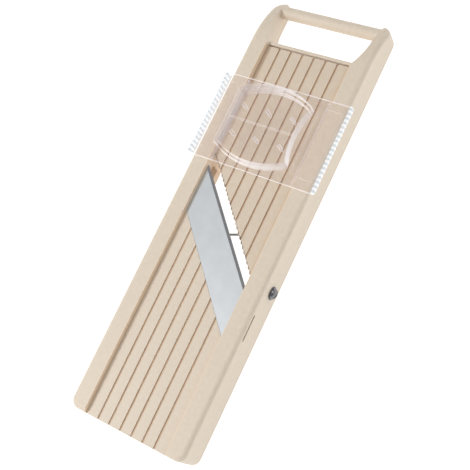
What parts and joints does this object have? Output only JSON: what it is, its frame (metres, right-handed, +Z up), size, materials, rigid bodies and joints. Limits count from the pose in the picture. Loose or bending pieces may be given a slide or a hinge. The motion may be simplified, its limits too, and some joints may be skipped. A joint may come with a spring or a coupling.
{
  "type": "mandoline slicer",
  "caption": "Hand mandoline slicer: beige frame with round grip bar, leaning steel blade, grooved adjustable ramp and clear sliding finger guard.",
  "frame": {"origin": "on the table under the middle of the slicer", "axes": "+X across to the side with the clamp screw, +Y along the rails towards the round grip bar, +Z up"},
  "size_m": [0.0996, 0.3199, 0.0347],
  "materials": {
    "beige_plastic": "fine matte moulded plastic",
    "ramp_plastic": "fine matte moulded plastic",
    "knob_plastic": "fluted matte plastic",
    "blade_steel": "satin ground stainless steel",
    "plain_steel": "plain stainless steel",
    "bright_screw": "polished plating",
    "brass_insert": "turned brass",
    "clear_plastic": "clear glossy moulded plastic"
  },
  "bodies": {
    "frame": {"left_rail": "beige_plastic", "right_rail": "beige_plastic", "handle_bar": "beige_plastic", "end_cross_bar": "beige_plastic", "lower_bed": "beige_plastic", "screw_bridge": "beige_plastic", "throat_strut": "plain_steel", "main_blade": "blade_steel", "blade_studs": "plain_steel", "blade_washers": "plain_steel", "blade_nuts": "plain_steel", "ramp_pivot_pin": "plain_steel", "bridge_bush": "brass_insert", "side_insert": "brass_insert"},
    "ramp": {"upper_ramp": "ramp_plastic", "ramp_insert": "brass_insert"},
    "knob": {"adjusting_knob": "knob_plastic", "adjusting_screw": "plain_steel", "screw_clip": "plain_steel", "thrust_washer": "plain_steel"},
    "clamp_washer": {"side_washer": "bright_screw"},
    "clamp_screw": {"side_screw": "bright_screw"},
    "guard": {"guard_shell": "clear_plastic", "guard_spikes": "clear_plastic"}
  },
  "joints": [
    {"name": "knob_turn", "type": "hinge", "parent": "frame", "child": "knob", "pos_m": [0, 0.048, 0.003], "axis": [0, 0, 1], "range_deg": [-165, 825]},
    {"name": "ramp_tilt", "type": "hinge", "parent": "frame", "child": "ramp", "pos_m": [0, 0.1155, 0.0145], "axis": [1, 0, 0], "range_deg": [-0.4, 1.96]},
    {"name": "clamp_travel", "type": "slide", "parent": "frame", "child": "clamp_washer", "axis": [1, 0, 0], "range_m": [0, 0.0024]},
    {"name": "clamp_turn", "type": "hinge", "parent": "clamp_washer", "child": "clamp_screw", "pos_m": [0.046, -0.0394, 0.01], "axis": [1, 0, 0], "range_deg": [-4, 1100]},
    {"name": "guard_slide", "type": "slide", "parent": "frame", "child": "guard", "axis": [0, 1, 0], "range_m": [-0.17, 0.026]}
  ],
  "couplings": [
    {"joint": "ramp_tilt", "follows": "knob_turn", "ratio": 0.0023578},
    {"joint": "clamp_turn", "follows": "clamp_travel", "rad_per_m": 7854}
  ]
}
